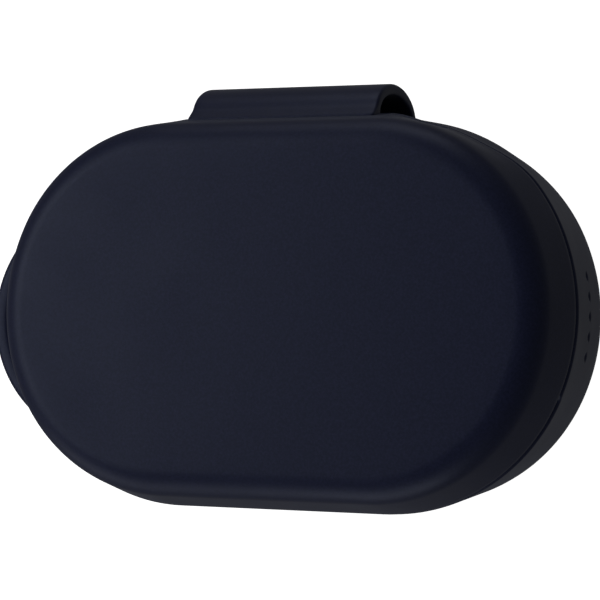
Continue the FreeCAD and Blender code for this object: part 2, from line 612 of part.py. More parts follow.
def make_contacts():
    """Spring-loaded pins, each in its own bore of a block that stands on the main board."""
    block_top = "Dims.well_floor - Dims.well_wall - 2 * Dims.seat_play"
    bore_floor = f"{BOARD_TOP} + Dims.contact_seat"
    for side, word in SIDES:
        body = box(f"contact_block_{word}_body",
                   (f"{side} * Dims.well_x - Dims.contact_block_long / 2",
                    "Dims.contact_block_long"),
                   ("Dims.contact_y - Dims.contact_block_wide / 2", "Dims.contact_block_wide"),
                   (BOARD_TOP, f"{block_top} - ({BOARD_TOP})"))
        bores = []
        for spot, sy in CONTACT_SPOTS:
            at = contact_at(side, sy)
            bores.append(cylinder(f"contact_bore_{word}_{spot}", "Dims.contact_bore_r",
                                  f"Dims.contact_shoulder_z - ({bore_floor})", (*at, bore_floor)))
            bores.append(cylinder(f"contact_throat_{word}_{spot}",
                                  "Dims.contact_r + Dims.contact_play", "3 * Dims.past",
                                  (*at, "Dims.contact_shoulder_z - Dims.past")))
        cut(f"contact_block_{word}", body, *bores)
    flange_low = "Dims.contact_shoulder_z - Dims.contact_flange - Dims.seat_play"
    nose_low = "Dims.well_floor + Dims.contact_proud - Dims.contact_nose"
    coil_low = f"{bore_floor} + Dims.coil_play"
    for name, sx, sy in contact_places():
        at = contact_at(sx, sy)
        stem = cylinder(f"contact_stem_{name}", "Dims.contact_r", f"{nose_low} - ({flange_low})",
                        (*at, flange_low))
        nose = doc.addObject("Part::Cone", f"contact_nose_{name}")
        bind(nose, Radius1="Dims.contact_r", Radius2="Dims.contact_r - Dims.contact_nose_slope",
             Height="Dims.contact_nose")
        place(nose, *at, nose_low)
        flange = cylinder(f"contact_flange_{name}", "Dims.contact_head_r", "Dims.contact_flange",
                          (*at, flange_low))
        fuse(f"contact_pin_{name}", stem, nose, flange)
        coil = cylinder(f"contact_coil_{name}", "Dims.contact_head_r - Dims.coil_play",
                        f"({flange_low}) - Dims.coil_play - ({coil_low})", (*at, coil_low))
        core = cylinder(f"contact_core_{name}",
                        "Dims.contact_head_r - Dims.coil_play - Dims.coil_wire",
                        f"({flange_low}) - ({bore_floor})", (*at, bore_floor))
        cut(f"contact_spring_{name}", coil, core)


# ---------------------------------------------------------------- electronics
def make_battery():
    body = doc.addObject("Part::Box", "battery_block")
    bind(body, Length="Dims.battery_wide", Width="Dims.battery_long", Height="Dims.battery_tall")
    lift = f"{BOARD_TOP} + Dims.tape_thick"
    place(body, "-Dims.battery_wide / 2", "Dims.battery_y - Dims.battery_long / 2", lift)
    doc.recompute()
    cell = doc.addObject("Part::Fillet", "battery_cell")
    cell.Base = body
    long_edges = [i for i, edge in enumerate(body.Shape.Edges, start=1)
                  if abs(edge.tangentAt(edge.FirstParameter).y) > 0.9]
    cell.Edges = [(i, size("battery_corner"), size("battery_corner")) for i in long_edges]
    centred_box("battery_tape", "Dims.battery_wide - 2 * Dims.tape_margin",
                ("Dims.battery_y - Dims.battery_long / 2 + Dims.tape_margin",
                 "Dims.battery_long - 2 * Dims.tape_margin"),
                (BOARD_TOP, "Dims.tape_thick"))


def make_main_board():
    """Board with clipped corners, room round the tray posts, two screw holes and four chips."""
    half_x = "Dims.board_half_x"
    half_y = "(Dims.board_back_y - Dims.board_front_y) / 2"
    middle_y = "(Dims.board_back_y + Dims.board_front_y) / 2"
    low = "Dims.board_z - Dims.past"
    through = "Dims.board_thick + 2 * Dims.past"
    plate = centred_box("board_plate", f"2 * {half_x}",
                        ("Dims.board_front_y", f"2 * {half_y}"),
                        ("Dims.board_z", "Dims.board_thick"))
    cutters = both_sides(lambda side, word: cylinder(
        f"board_hole_{word}", "Dims.screw_r + Dims.flex_thick", through,
        (f"{side} * Dims.board_screw_x", "0", low)))
    for i, (sx, sy) in enumerate(CORNERS, start=1):
        cutters.append(cylinder(f"board_post_room_{i}", "Dims.boss_r + Dims.post_room", through,
                                (f"{sx} * Dims.tray_screw_x", f"{sy} * Dims.tray_screw_y", low)))
        corner = doc.addObject("Part::Box", f"board_corner_{i}")
        bind(corner, Length="Dims.board_corner", Width="Dims.board_corner", Height=through)
        corner.Placement = FreeCAD.Placement(V(), FreeCAD.Rotation(V(0, 0, 1), 45))
        place(corner, f"{sx} * ({half_x} + Dims.board_corner_out)",
              f"{middle_y} + {sy} * ({half_y} + 1) - Dims.board_corner_up - 1", low)
        cutters.append(corner)
    cut("main_board", plate, *cutters)
    # name, middle in X and Y, then width, length and height
    chips = (("charge_chip", -9.5, 7.5, 3.0, 3.0, 0.75), ("radio_chip", 9.5, 7.5, 4.0, 4.0, 0.85),
             ("coil_chip", -9.0, -8.0, 2.5, 2.0, 1.0), ("memory_chip", 9.5, -8.0, 3.0, 2.4, 0.6))
    group("board_chips", *[
        box(name, (x - wide / 2, wide), (y - long / 2, long), (BOARD_TOP, tall))
        for name, x, y, wide, long, tall in chips
    ])


def make_port():
    """Charging socket: a flattened metal tube with a contact tongue inside."""
    back = "Dims.port_mouth_y - Dims.port_deep"
    outside = flat_tube("port_outside", "Dims.port_wide", "Dims.port_tall",
                        (back, "Dims.port_deep"))
    inside = flat_tube("port_inside", "Dims.port_wide - 2 * Dims.port_wall",
                       "Dims.port_tall - 2 * Dims.port_wall",
                       (f"{back} + Dims.port_back_wall", "Dims.port_deep"))
    cut("port_shell", outside, inside)
    centred_box("port_tongue", "Dims.tongue_wide",
                (f"{back} + Dims.port_back_wall + Dims.thread_play", "Dims.tongue_long"),
                ("Dims.port_z - Dims.tongue_thick / 2", "Dims.tongue_thick"))


def make_deck_board():
    """Small board under the deck with the setup switch, status light and lid sensor."""
    top = DECK_BOARD_TOP
    centred_box("deck_board", "2 * Dims.deck_board_half_x",
                ("Dims.deck_board_front_y", "Dims.deck_board_back_y - Dims.deck_board_front_y"),
                ("Dims.deck_board_z", "Dims.deck_board_thick"))
    side = "Dims.switch_side"
    can = centred_box("switch_can", side, (f"Dims.button_y - {side} / 2", side),
                      (top, "Dims.switch_tall"))
    nub = cylinder("switch_nub", "Dims.nub_r", "Dims.nub_tall",
                   ("0", "Dims.button_y", f"{top} + Dims.switch_tall"))
    fuse("setup_switch", can, nub)
    centred_box("status_led", "Dims.led_wide",
                ("Dims.light_y - Dims.led_long / 2", "Dims.led_long"), (top, "Dims.led_tall"))
    pipe_low = f"{top} + Dims.led_tall + Dims.seat_play"
    cylinder("light_pipe", "Dims.light_r", f"Dims.deck_top - Dims.thread_play - ({pipe_low})",
             ("0", "Dims.light_y", pipe_low))
    box("lid_sensor", ("Dims.sensor_x", "Dims.sensor_wide"),
        ("Dims.deck_board_front_y + Dims.sensor_inset", "Dims.sensor_long"),
        (top, "Dims.sensor_tall"))


def make_deck_flex():
    """Thin flexible strip that joins the deck board to the main board."""
    def piece(name, long, z):
        return box(name, ("Dims.flex_x", long),
                   ("Dims.deck_board_back_y - Dims.flex_inset", "Dims.flex_wide"), z)

    upright = piece("flex_upright", "Dims.flex_thick",
                    (BOARD_TOP, f"Dims.deck_board_z - ({BOARD_TOP})"))
    foot = piece("flex_foot", "Dims.flex_foot", (BOARD_TOP, "Dims.flex_thick"))
    head = piece("flex_head", "Dims.flex_foot",
                 ("Dims.deck_board_z - Dims.flex_thick", "Dims.flex_thick"))
    fuse("deck_flex", upright, foot, head)


def make_setup_button():
    """Round button that drops through the deck and presses the switch."""
    lift = (f"{DECK_BOARD_TOP} + Dims.switch_tall + Dims.nub_tall + Dims.button_travel"
            " + Dims.button_rest")
    lift_value = sum(size(name) for name in ("deck_board_z", "deck_board_thick", "switch_tall",
                                             "nub_tall", "button_travel", "button_rest"))
    under_value = size("deck_top") - size("deck_thick") - lift_value - size("button_rest")
    top_value = size("deck_top") - lift_value + size("button_proud")
    flange_top = (f"{DECK_UNDER} - ({lift}) - Dims.button_rest", under_value)
    flange_low = (f"{flange_top[0]} - Dims.button_flange", under_value - size("button_flange"))
    top = (f"Dims.deck_top - ({lift}) + Dims.button_proud", top_value)
    shoulder = (f"{top[0]} - Dims.button_chamfer", top_value - size("button_chamfer"))
    foot = ("Dims.button_foot_r", size("button_foot_r"))
    flange = ("Dims.button_flange_r", size("button_flange_r"))
    edge = ("Dims.button_r", size("button_r"))
    bevel = ("Dims.button_r - Dims.button_chamfer", size("button_r") - size("button_chamfer"))
    zero = ("0", 0)
    turned("setup_button", [
        (zero, zero), (foot, zero), (foot, flange_low), (flange, flange_low),
        (flange, flange_top), (edge, flange_top), (edge, shoulder), (bevel, top), (zero, top),
    ], ("0", "Dims.button_y", lift))


def make_battery_leads():
    """Two insulated leads from the end of the battery down to the board."""
    board_top = size("board_z") + size("board_thick")
    high = board_top + size("tape_thick") + size("lead_rise")
    bend = size("lead_bend")
    start_y = size("battery_y") + size("battery_long") / 2
    end_y = start_y + size("lead_reach")
    on_arc = bend * (1 - math.sin(45 * DEG))
    shapes = []
    for x in (-size("lead_x"), size("lead_x")):
        first, last = V(x, end_y - bend, high), V(x, end_y, high - bend)
        middle = V(x, end_y - on_arc, high - on_arc)
        path = Part.Wire([
            Part.makeLine(V(x, start_y, high), first),
            Part.Arc(first, middle, last).toShape(),
            Part.makeLine(last, V(x, end_y, board_top + size("thread_play"))),
        ])
        ring = Part.Wire([Part.makeCircle(size("lead_r"), V(x, start_y, high), V(0, 1, 0))])
        shapes.append(path.makePipeShell([ring], True, True))
    leads = doc.addObject("Part::Feature", "battery_leads")
    leads.Shape = Part.makeCompound(shapes)


# ---------------------------------------------------------------- magnets and screws
def make_magnets():
    def pair(name, radius, tall, x, y, z):
        group(name, *both_sides(lambda side, word: cylinder(
            f"{name}_{word}", radius, tall, (f"{side} * ({x})", y, z))))

    pair("lid_magnets", "Dims.magnet_r", "Dims.magnet_tall", "Dims.magnet_x", "Dims.magnet_y",
         f"{LINER_RIM} + Dims.magnet_lift + Dims.thread_play")
    pair("base_magnets", "Dims.magnet_r", "Dims.magnet_tall", "Dims.magnet_x", "Dims.magnet_y",
         "Dims.deck_top - Dims.magnet_cover - Dims.magnet_play - Dims.magnet_tall")
    pair("earbud_magnets", "Dims.bud_magnet_r", "Dims.bud_magnet_tall", "Dims.well_x",
         "Dims.bud_magnet_y",
         "Dims.well_floor - Dims.well_wall - Dims.magnet_play - Dims.bud_magnet_tall")


def screw(name, length, at, head_z):
    """Pan-head screw with a cross recess; head_z is the underside of its head."""
    x, y = at
    head = cylinder(name + "_head", "Dims.screw_head_r", "Dims.screw_head_tall - Dims.head_gap",
                    (x, y, head_z))
    shank = cylinder(name + "_shank", "Dims.screw_r - Dims.thread_play", length,
                     (x, y, f"({head_z}) - ({length})"))
    slot_low = f"({head_z}) + Dims.screw_head_tall - Dims.head_gap - Dims.recess_deep"
    recess = [
        box(f"{name}_recess_{word}", (f"{x} - {wide} / 2", wide), (f"{y} - {deep} / 2", deep),
            (slot_low, "Dims.recess_deep + Dims.past"))
        for word, wide, deep in (("x", "Dims.recess_long", "Dims.recess_wide"),
                                 ("y", "Dims.recess_wide", "Dims.recess_long"))
    ]
    return cut(name, fuse(name + "_blank", head, shank), *recess)


def make_screws():
    group("tray_screws", *[
        screw(f"tray_screw_{i}", "Dims.tray_screw_long - Dims.past",
              (f"{sx} * Dims.tray_screw_x", f"{sy} * Dims.tray_screw_y"),
              "Dims.deck_top - Dims.screw_head_tall")
        for i, (sx, sy) in enumerate(CORNERS, start=1)
    ])
    group("board_screws", *both_sides(lambda side, word: screw(
        f"board_screw_{word}", "Dims.board_screw_long", (f"{side} * Dims.board_screw_x", "0"),
        BOARD_TOP)))


# ---------------------------------------------------------------- build
NODES = (
    ["sleeve_base", "sleeve_lid", "hinge_strap", "base_shell", "lid_shell", "tray", "lid_liner",
     "hinge_base_leaf", "hinge_lid_leaf", "hinge_pin", "contact_block_left",
     "contact_block_right"]
    + [f"contact_{part}_{name}" for part in ("pin", "spring") for name, _, _ in contact_places()]
    + ["battery_cell", "battery_tape", "battery_leads", "main_board", "board_chips", "port_shell",
       "port_tongue", "deck_board", "setup_switch", "setup_button", "status_led", "light_pipe",
       "lid_sensor", "deck_flex", "lid_magnets", "base_magnets", "earbud_magnets", "tray_screws",
       "board_screws"]
)


def check_document():
    doc.recompute()
    for item in doc.Objects:
        if "Invalid" in item.State or "Error" in item.State:
            raise RuntimeError(f"{item.Name} failed: {item.State}")
    for name in NODES:
        shape = doc.getObject(name).Shape
        if shape.isNull() or not shape.isValid() or not shape.Solids:
            raise RuntimeError(f"{name} has no valid solid")


def write_nodes():
    os.makedirs("parts", exist_ok=True)
    for name in NODES:
        node = doc.getObject(name)
        node.Label = name
        node.Shape.exportStep(f"parts/{name}.step")
        print(f"{name}: {len(node.Shape.Solids)} solid(s), {node.Shape.Volume:.2f} mm3")


make_sleeve_base()
make_sleeve_lid()
make_hinge_strap()
make_base_shell()
make_lid_shell()
make_tray()
make_lid_liner()
make_hinge()
make_contacts()
make_battery()
make_main_board()
make_port()
make_deck_board()
make_deck_flex()
make_setup_button()
make_battery_leads()
make_magnets()
make_screws()
check_document()
write_nodes()
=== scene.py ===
import json
import math

import bmesh
import bpy
from mathutils import Matrix, Vector


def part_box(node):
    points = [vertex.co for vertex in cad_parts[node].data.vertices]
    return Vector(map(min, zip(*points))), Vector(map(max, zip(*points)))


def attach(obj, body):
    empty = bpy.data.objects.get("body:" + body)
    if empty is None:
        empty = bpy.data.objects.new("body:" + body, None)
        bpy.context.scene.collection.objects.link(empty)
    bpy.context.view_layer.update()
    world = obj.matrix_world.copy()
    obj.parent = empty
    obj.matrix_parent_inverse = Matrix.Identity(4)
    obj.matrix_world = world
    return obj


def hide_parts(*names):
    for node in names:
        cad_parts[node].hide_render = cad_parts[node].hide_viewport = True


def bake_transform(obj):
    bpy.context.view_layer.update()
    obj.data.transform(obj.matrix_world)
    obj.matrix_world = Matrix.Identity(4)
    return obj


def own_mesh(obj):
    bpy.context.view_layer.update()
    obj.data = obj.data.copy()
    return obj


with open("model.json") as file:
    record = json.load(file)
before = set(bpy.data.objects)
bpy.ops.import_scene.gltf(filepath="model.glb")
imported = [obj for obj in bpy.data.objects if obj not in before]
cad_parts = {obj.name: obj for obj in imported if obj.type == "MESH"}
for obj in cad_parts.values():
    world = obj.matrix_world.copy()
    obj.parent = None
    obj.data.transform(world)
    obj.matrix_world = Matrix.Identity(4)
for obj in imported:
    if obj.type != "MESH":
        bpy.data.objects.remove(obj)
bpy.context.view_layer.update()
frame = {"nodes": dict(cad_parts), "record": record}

MM = 0.001

# ------------------------------------------------------------------ sizes of the sleeve
# These are the CAD model's, except that the end curves are a little rounder and the dimples a
# little wider.
HALF_LENGTH, HALF_WIDTH = 32.5, 21.6
TIP_RADIUS, CORNER_RADIUS = 23.2, 20.5
PARTING, HEIGHT, GAP = 21.8, 30.2, 0.3
WALL = 1.45
BASE_LEAN, LID_LEAN = math.radians(3.6), math.radians(12.8)
BOTTOM_ROUND, TOP_ROUND = 9.5, 3.2
RELIEF_HALF_X, RELIEF_Z = 18.6, 23.0      # raised rim of the upper sleeve at the hinge
WINDOW_HALF_X, WINDOW_Z = 10.0, 20.4      # lowered rim of the lower sleeve at the hinge
STEP_Y, STEP_DEPTH = 8.6, 0.4             # finger step along the front
DIMPLE_PITCH, DIMPLE_Z, DIMPLE_R, DIMPLE_DEPTH = 2.15, 14.8, 0.62, 0.3
DIMPLE_FLAT = 0.25                        # share of a dimple's radius that is its flat bottom
EDGE, INNER_EDGE = 0.35, 0.2              # rounding of the rims, outside and inside

# Hollow on each side of the hinge strap, where the back falls in so that the lid can swing.
# It grows and ends between two distances from the middle of the strap, and fades between two
# distances from the parting.
HOLLOW_DEPTH = 0.75
HOLLOW_GROWS, HOLLOW_ENDS = (11.0, 16.5), (21.5, 28.0)
HOLLOW_FADES = (0.3, 6.0)

# Window for the plug in the back wall.
PORT_Z, WINDOW_WIDE, WINDOW_TALL = 7.0, 12.4, 6.8
PORT_INSIDE_Y, PORT_FACE_Y, PORT_PAST_Y = 17.0, 20.9, 24.0
PORT_LIP, PORT_LIP_TURN, PORT_FLARE = 0.4, math.radians(80), 3.0

# Hinge strap and lanyard loop.
STRAP_HALF_X, STRAP_Y, STRAP_Z = 10.85, 21.4, 17.4
STRAP_RISE, STRAP_HALF_Z, STRAP_WALL = 3.75, 6.7, 1.22
STRAP_FOOT, STRAP_FLARE, STRAP_FLARE_RISE = 0.7, 1.15, (-0.45, 1.0)
BASE_FOOT_OUTER, BASE_FOOT_INNER = 1.25, 0.3
LOOP_TIP_X, LOOP_RADIUS, LOOP_Y, LOOP_BAND = 39.3, 14.0, -0.8, 2.1
LOOP_LOW_Z, LOOP_THICK, LOOP_EDGE = 12.5, 4.0, 0.7
LOOP_REACH = math.radians(80)
LOOP_ROOT = (math.radians(50), math.radians(76))
LOOP_ROOT_WIDER, LOOP_ROOT_TALLER = 0.9, 0.7

# Charging contacts.
CONTACTS = ("left_outer", "left_inner", "right_outer", "right_inner")
CONTACT_STROKE, COIL_WIRE_R, COIL_TURNS = 0.6, 0.1, 5

# How finely the sleeve is meshed.
STATION_STEP, STATION_GROWTH = 0.75, 0.35
SPINE_HALF = 11.0                         # half length of the line that the flat faces close on
FACE_ROWS, INNER_FACE_ROWS = 12, 4
CORNER_STEPS, INNER_CORNER_STEPS = 16, 6
LID_WALL_ROWS, BASE_WALL_ROWS, INNER_WALL_ROWS = 12, 60, 6


def smooth(value, low, high):
    """0 below low, 1 above high, with a smooth ramp between them."""
    t = min(1.0, max(0.0, (value - low) / (high - low)))
    return t * t * (3 - 2 * t)


def arc_steps(start, end, count):
    """Evenly spaced values from start to end, both included."""
    return [start + (end - start) * i / count for i in range(count + 1)]


# ------------------------------------------------------------------ the case's outline
# A quarter runs from the right tip round a tip arc and a corner arc to a straight back side.
TURN = math.asin((HALF_WIDTH - CORNER_RADIUS) / (TIP_RADIUS - CORNER_RADIUS))
TIP_X = HALF_LENGTH - TIP_RADIUS
CORNER_X = TIP_X + (TIP_RADIUS - CORNER_RADIUS) * math.cos(TURN)
CORNER_Y = HALF_WIDTH - CORNER_RADIUS
QUARTER_ARCS = ((TIP_X, 0.0, TIP_RADIUS, 0.0, TURN),
                (CORNER_X, CORNER_Y, CORNER_RADIUS, TURN, math.pi / 2))
QUARTER_LENGTH = TIP_RADIUS * TURN + CORNER_RADIUS * (math.pi / 2 - TURN) + CORNER_X


def quarter_at(run):
    """Point and outward direction at a distance along the quarter from the right tip."""
    for x, y, radius, start, end in QUARTER_ARCS:
        length = radius * (end - start)
        if run <= length:
            angle = start + run / radius
            return (x + radius * math.cos(angle), y + radius * math.sin(angle),
                    math.cos(angle), math.sin(angle))
        run -= length
    return CORNER_X - run, HALF_WIDTH, 0.0, 1.0


def run_at_x(x):
    """Distance along the quarter at which the back of the outline is at a given x."""
    if x <= CORNER_X:
        return QUARTER_LENGTH - x
    return TIP_RADIUS * TURN + CORNER_RADIUS * (math.acos((x - CORNER_X) / CORNER_RADIUS) - TURN)


def quarter_stations(fine_spots):
    """Distances along a quarter, closer together near the spots (distance, reach, step)."""
    stops, run = [0.0], 0.0
    while run < QUARTER_LENGTH:
        step = STATION_STEP
        for spot, reach, fine in fine_spots:
            away = max(0.0, abs(run - spot) - reach)
            step = min(step, fine + away * STATION_GROWTH)
        run += step
        stops.append(run)
    scale = QUARTER_LENGTH / stops[-1]
    return [s * scale for s in stops]


def outline():
    """Stations all round the case, counter-clockwise from the right tip: (x, y, nx, ny)."""
    dimples = (0, 4.9, 0.16)
    relief = (run_at_x(RELIEF_HALF_X), 0.7, 0.2)
    window = (run_at_x(WINDOW_HALF_X), 0.7, 0.15)
    port = (run_at_x(3), 4.5, 0.4)
    finger_step = (STEP_Y, 1.3, 0.25)
    right_back = [quarter_at(s) for s in quarter_stations([dimples, relief, window, port])]
    right_front = [quarter_at(s) for s in quarter_stations([dimples, finger_step])]
    left_back = [(-x, y, -nx, ny) for x, y, nx, ny in reversed(right_back[:-1])]
    left_front = [(-x, -y, -nx, -ny) for x, y, nx, ny in right_front[1:]]
    front_right = [(x, -y, nx, -ny) for x, y, nx, ny in reversed(right_front[1:-1])]
    return right_back + left_back + left_front + front_right


OUTLINE = outline()


def ring(inset, height):
    """One closed row of points; inset and height are numbers or functions of a station."""
    row = []
    for station in OUTLINE:
        x, y, nx, ny = station
        d = inset(station) if callable(inset) else inset
        z = height(station) if callable(height) else height
        row.append(Vector((x - nx * d, y - ny * d, z)))
    return row


def closing_rows(first, height, count):
    """Rows that fill a flat face from its edge to the spine."""
    rows = []
    for i in range(1, count + 1):
        t = i / count
        row = []
        for point in first:
            spine_x = min(SPINE_HALF, max(-SPINE_HALF, point.x))
            row.append(Vector((point.x + (spine_x - point.x) * t, point.y * (1 - t), height)))
        rows.append(row)
    return rows


# ------------------------------------------------------------------ mesh helpers
def join_rows(bm, rows):
    """Vertices for closed rows of points in millimetres, with faces from row to row."""
    rings = [[bm.verts.new(p * MM) for p in row] for row in rows]
    for one, two in zip(rings, rings[1:]):
        for i in range(len(one)):
            j = (i + 1) % len(one)
            bm.faces.new((one[i], one[j], two[j], two[i]))
    return rings


def finish_mesh(name, bm):
    """A smooth-shaded object from a bmesh, with doubled points and thin faces cleaned out."""
    bmesh.ops.remove_doubles(bm, verts=bm.verts, dist=0.001 * MM)
    bmesh.ops.dissolve_degenerate(bm, edges=bm.edges, dist=0.0005 * MM)
    bmesh.ops.recalc_face_normals(bm, faces=bm.faces)
    mesh = bpy.data.meshes.new(name)
    bm.to_mesh(mesh)
    bm.free()
    mesh.shade_smooth()
    piece = bpy.data.objects.new(name, mesh)
    bpy.context.scene.collection.objects.link(piece)
    return piece


def skin(name, rows):
    """A skin over closed rows, of which the first and the last close on a line."""
    bm = bmesh.new()
    join_rows(bm, rows)
    return finish_mesh(name, bm)


def section_sweep(name, sections):
    """A closed tube over sections of equal point count, with flat ends."""
    bm = bmesh.new()
    rings = join_rows(bm, sections)
    bm.faces.new(rings[0][::-1])
    bm.faces.new(rings[-1])
    return finish_mesh(name, bm)


def subtract(piece, cutter):
    """Cut one mesh object out of another, and delete the cutter."""
    boolean = piece.modifiers.new("cut", "BOOLEAN")
    boolean.operation = "DIFFERENCE"
    boolean.solver = "EXACT"
    boolean.object = cutter
    graph = bpy.context.evaluated_depsgraph_get()
    mesh = bpy.data.meshes.new_from_object(piece.evaluated_get(graph))
    piece.modifiers.clear()
    piece.data = mesh
    mesh.shade_smooth()
    bpy.data.objects.remove(cutter)


# ------------------------------------------------------------------ sleeve
def lid_rim(station):
    """Height of the upper sleeve's rim: raised at the back so that the lid can swing."""
    x, y = station[0], station[1]
    inside = smooth(RELIEF_HALF_X - abs(x), -0.35, 0.35) if y > 0 else 0.0
    return PARTING + GAP / 2 + (RELIEF_Z - PARTING - GAP / 2) * inside


def base_rim(station):
    """Height of the lower sleeve's rim: a finger step in front, a window at the hinge."""
    x, y = station[0], station[1]
    step = STEP_DEPTH * smooth(-y - STEP_Y, -0.1, 0.5)
    window = smooth(WINDOW_HALF_X - abs(x), -0.3, 0.3) if y > 0 else 0.0
    drop = (PARTING - GAP / 2 - WINDOW_Z) * window
    return PARTING - GAP / 2 - max(step, drop)


def swing_hollow(station, z):
    """How far the outside falls back beside the strap, so that the lid can swing clear."""
    x, y = abs(station[0]), station[1]
    if y < 0:
        return 0.0
    along = smooth(x, *HOLLOW_GROWS) * (1 - smooth(x, *HOLLOW_ENDS))
    return HOLLOW_DEPTH * along * (1 - smooth(abs(z - PARTING), *HOLLOW_FADES))


def wall_rows(rim, lean, up, far, count, outside):
    """Rows of a leaning wall from just past its rounded rim to the height far."""
    rows = []
    for i in range(count + 1):
        t = i / count

        def height(station, t=t):
            near = rim(station) + up * EDGE
            return near + (far - near) * t

        def inset(station, height=height):
            z = height(station)
            extra = swing_hollow(station, z) if outside else WALL
            return abs(z - PARTING) * math.tan(lean) + extra

        rows.append(ring(inset, height))
    return rows


def rim_rows(rim, lean, up):
    """Rows over the rim, from the outer wall round both edges to the inner wall."""
    rows = []
    for angle in arc_steps(0, math.pi / 2, 5)[1:]:

        def height(station, angle=angle):
            return rim(station) + up * EDGE * (1 - math.sin(angle))

        def inset(station, angle=angle):
            wall_z = rim(station) + up * EDGE
            return (abs(wall_z - PARTING) * math.tan(lean) + EDGE * (1 - math.cos(angle))
                    + swing_hollow(station, wall_z))

        rows.append(ring(inset, height))
    for angle in arc_steps(0, math.pi / 2, 3):

        def height(station, angle=angle):
            return rim(station) + up * INNER_EDGE * (1 - math.cos(angle))

        def inset(station, angle=angle):
            return (abs(rim(station) - PARTING) * math.tan(lean) + WALL
                    - INNER_EDGE * (1 - math.sin(angle)))

        rows.append(ring(inset, height))
    return rows


def corner_rows(lean, radius, level, up, extra, count):
    """Rows round the edge between a leaning wall and the flat face at a level."""
    centre_z = level - up * radius
    centre = abs(centre_z - PARTING) * math.tan(lean) + radius / math.cos(lean) + extra
    return [ring(centre - radius * math.cos(a), centre_z + up * radius * math.sin(a))
            for a in arc_steps(lean, math.pi / 2, count)]


def sleeve_half(name, rim, lean, radius, level, up, wall_count):
    """One half of the sleeve as a closed skin: outside, rim and inside."""
    outer_corner = corner_rows(lean, radius, level, up, 0.0, CORNER_STEPS)
    outer_face = closing_rows(outer_corner[-1], level, FACE_ROWS)
    inner_level = level - up * WALL
    inner_corner = corner_rows(lean, radius - WALL, inner_level, up, WALL, INNER_CORNER_STEPS)
    inner_face = closing_rows(inner_corner[-1], inner_level, INNER_FACE_ROWS)
    outer_wall = wall_rows(rim, lean, up, outer_corner[0][0].z, wall_count, True)
    inner_wall = wall_rows(rim, lean, up, inner_corner[0][0].z, INNER_WALL_ROWS, False)
    rows = (outer_face[::-1] + outer_corner[::-1] + outer_wall[::-1][1:]
            + rim_rows(rim, lean, up) + inner_wall[:-1] + inner_corner + inner_face)
    return skin(name, rows)


def press_dimples(piece):
    """Five shallow round dimples in the right end wall."""
    end_zone = TIP_X + 20
    outside_r = TIP_RADIUS - 0.75
    spots = [Vector((0, DIMPLE_PITCH * i, DIMPLE_Z)) for i in range(-2, 3)]
    for vertex in piece.data.vertices:
        x, y, z = vertex.co / MM
        if x < end_zone or math.hypot(x - TIP_X, y) <= outside_r:
            continue
        for spot in spots:
            away = math.hypot(y - spot.y, z - spot.z)
            depth = DIMPLE_DEPTH * (1 - smooth(away, DIMPLE_FLAT * DIMPLE_R, DIMPLE_R))
            vertex.co.x -= depth * MM


def stadium_points(wide, tall, count=14):
    """Outline of a slot with half-round ends, as (x, z) pairs."""
    half, radius = (wide - tall) / 2, tall / 2
    points = []
    for side, start in ((1, -math.pi / 2), (-1, math.pi / 2)):
        for angle in arc_steps(start, start + math.pi, count):
            points.append((side * half + radius * math.cos(angle), radius * math.sin(angle)))
    return points


def cut_port_window(piece):
    """Opening for the plug, with a rounded lip, cut through the back wall of the sleeve."""
    lip_start = PORT_FACE_Y - PORT_LIP
    levels = [(PORT_INSIDE_Y, 0.0), (lip_start, 0.0)]
    levels += [(lip_start + PORT_LIP * math.sin(a), PORT_LIP * (1 - math.cos(a)))
               for a in arc_steps(0, PORT_LIP_TURN, 5)[1:]]
    levels.append((PORT_PAST_Y, PORT_FLARE))
    sections = []
    for y, grow in levels:
        points = stadium_points(WINDOW_WIDE + 2 * grow, WINDOW_TALL + 2 * grow)
        sections.append([Vector((x, y, z + PORT_Z)) for x, z in points])
    subtract(piece, section_sweep("port_cutter", sections))


def make_sleeve():
    """The two sleeve halves, upper and lower."""
    lid = sleeve_half("sleeve_lid_skin", lid_rim, LID_LEAN, TOP_ROUND, HEIGHT, 1, LID_WALL_ROWS)
    base = sleeve_half("sleeve_base_skin", base_rim, BASE_LEAN, BOTTOM_ROUND, 0.0, -1,
                       BASE_WALL_ROWS)
    press_dimples(base)
    cut_port_window(base)
    return lid, base


# ------------------------------------------------------------------ hinge strap, loop and springs
def strap_section(shrink):
    """Section of the hinge strap in Y and Z: a half-elliptic band whose feet flare out."""
    rise = STRAP_RISE - STRAP_WALL / 2
    half_z = STRAP_HALF_Z - STRAP_WALL / 2
    half_wall = STRAP_WALL / 2 - shrink
    foot = arc_steps(-STRAP_FOOT, 0.0, 6)
    middle = [(y, -half_z) for y in foot[:-1]]
    middle += [(rise * math.sin(a), -half_z * math.cos(a)) for a in arc_steps(0, math.pi, 44)]
    middle += [(y, half_z) for y in foot[-2::-1]]
    outer, inner = [], []
    for i, (y, z) in enumerate(middle):
        before, after = middle[max(0, i - 1)], middle[min(len(middle) - 1, i + 1)]
        along = Vector((after[0] - before[0], after[1] - before[1])).normalized()
        across = Vector((along.y, -along.x))
        flare = STRAP_FLARE * (1 - smooth(y, *STRAP_FLARE_RISE)) ** 2
        on_lid = z > 0
        outer_flare = flare if on_lid else flare * BASE_FOOT_OUTER
        inner_flare = 0.0 if on_lid else flare * BASE_FOOT_INNER
        outer.append(Vector((y, z)) + across * (half_wall + outer_flare))
        inner.append(Vector((y, z)) - across * (half_wall + inner_flare))
    return outer + inner[::-1]


